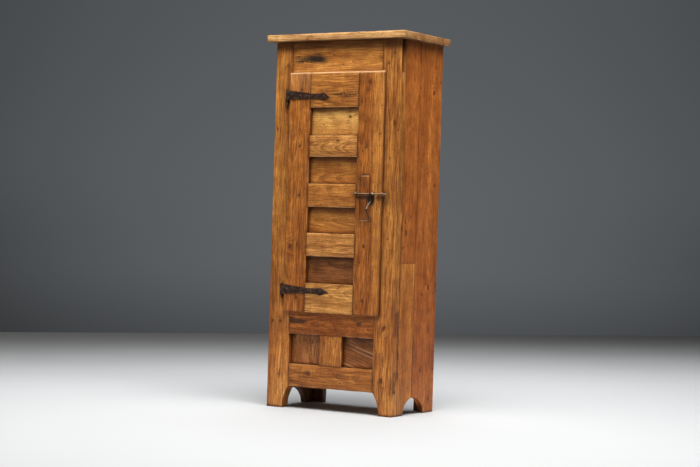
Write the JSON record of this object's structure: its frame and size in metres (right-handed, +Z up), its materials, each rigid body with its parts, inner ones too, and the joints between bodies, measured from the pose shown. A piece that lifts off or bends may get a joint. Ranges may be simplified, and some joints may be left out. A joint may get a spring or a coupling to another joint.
{
  "type": "cabinet",
  "caption": "Tall narrow pine cupboard with a lipped panelled door on wrought strap hinges, a sliding rod bolt with an S-shaped pull, low fixed panels, coved feet and an overhanging plank top.",
  "frame": {"origin": "on the floor, under the middle of the top board", "axes": "+Z up, +X to the right as one faces the door, +Y from the door towards the back"},
  "size_m": [0.742, 0.411, 1.72],
  "materials": {
    "pine_frame": "waxed old pine, worn",
    "pine_inside": "dry unwaxed pine",
    "pine_panel": "waxed old pine, darker boards",
    "pine_door": "waxed old pine, worn",
    "peg_wood": "dark end grain",
    "forged_iron": "dark forged, slightly rough",
    "worn_iron": "hand-worn bright iron"
  },
  "bodies": {
    "carcass": {"top_front_plank": "pine_frame", "top_rear_plank": "pine_frame", "front_post_left": "pine_frame", "front_post_right": "pine_frame", "frieze_rail": "pine_frame", "middle_rail": "pine_frame", "bottom_rail": "pine_frame", "lower_muntin": "pine_frame", "left_side_front_board": "pine_frame", "left_side_rear_board": "pine_frame", "right_side_front_board": "pine_frame", "right_side_patch": "pine_frame", "right_side_rear_board": "pine_frame", "rear_post_left": "pine_inside", "rear_post_right": "pine_inside", "back_rail_bottom": "pine_inside", "back_rail_top": "pine_inside", "back_board_1": "pine_inside", "back_board_2": "pine_inside", "back_board_3": "pine_inside", "back_board_4": "pine_inside", "floor_front_plank": "pine_inside", "floor_rear_plank": "pine_inside", "shelf_1": "pine_inside", "shelf_2": "pine_inside", "shelf_3": "pine_inside", "left_cleats": "pine_inside", "right_cleats": "pine_inside", "lower_panel_left": "pine_panel", "lower_panel_right": "pine_panel", "frame_pegs": "peg_wood", "carcass_nails": "forged_iron", "hinge_pintle_upper": "forged_iron", "hinge_pintle_lower": "forged_iron", "bolt_keeper": "forged_iron"},
    "door": {"door_hinge_stile": "pine_door", "door_latch_stile": "pine_door", "door_rail_1": "pine_door", "door_rail_2": "pine_door", "door_rail_3": "pine_door", "door_rail_4": "pine_door", "door_rail_5": "pine_door", "door_panel_1": "pine_panel", "door_panel_2": "pine_panel", "door_panel_3": "pine_panel", "door_panel_4": "pine_panel", "lock_patch": "pine_door", "door_pegs": "peg_wood", "strap_hinge_upper": "forged_iron", "strap_hinge_lower": "forged_iron", "hinge_nails": "forged_iron", "bolt_staple_left": "forged_iron", "bolt_staple_right": "forged_iron"},
    "bolt": {"bolt_rod": "worn_iron"},
    "pull": {"bolt_pull": "worn_iron"}
  },
  "joints": [
    {"name": "door_swing", "type": "hinge", "parent": "carcass", "child": "door", "pos_m": [-0.262, -0.1835, 0.9955], "axis": [0, 0, -1], "range_deg": [0, 165]},
    {"name": "bolt_slide", "type": "slide", "parent": "door", "child": "bolt", "axis": [-1, 0, 0], "range_m": [0, 0.045]},
    {"name": "pull_swing", "type": "hinge", "parent": "bolt", "child": "pull", "pos_m": [0.209, -0.1967, 0.992], "axis": [-1, 0, 0], "range_deg": [0, 150]}
  ]
}
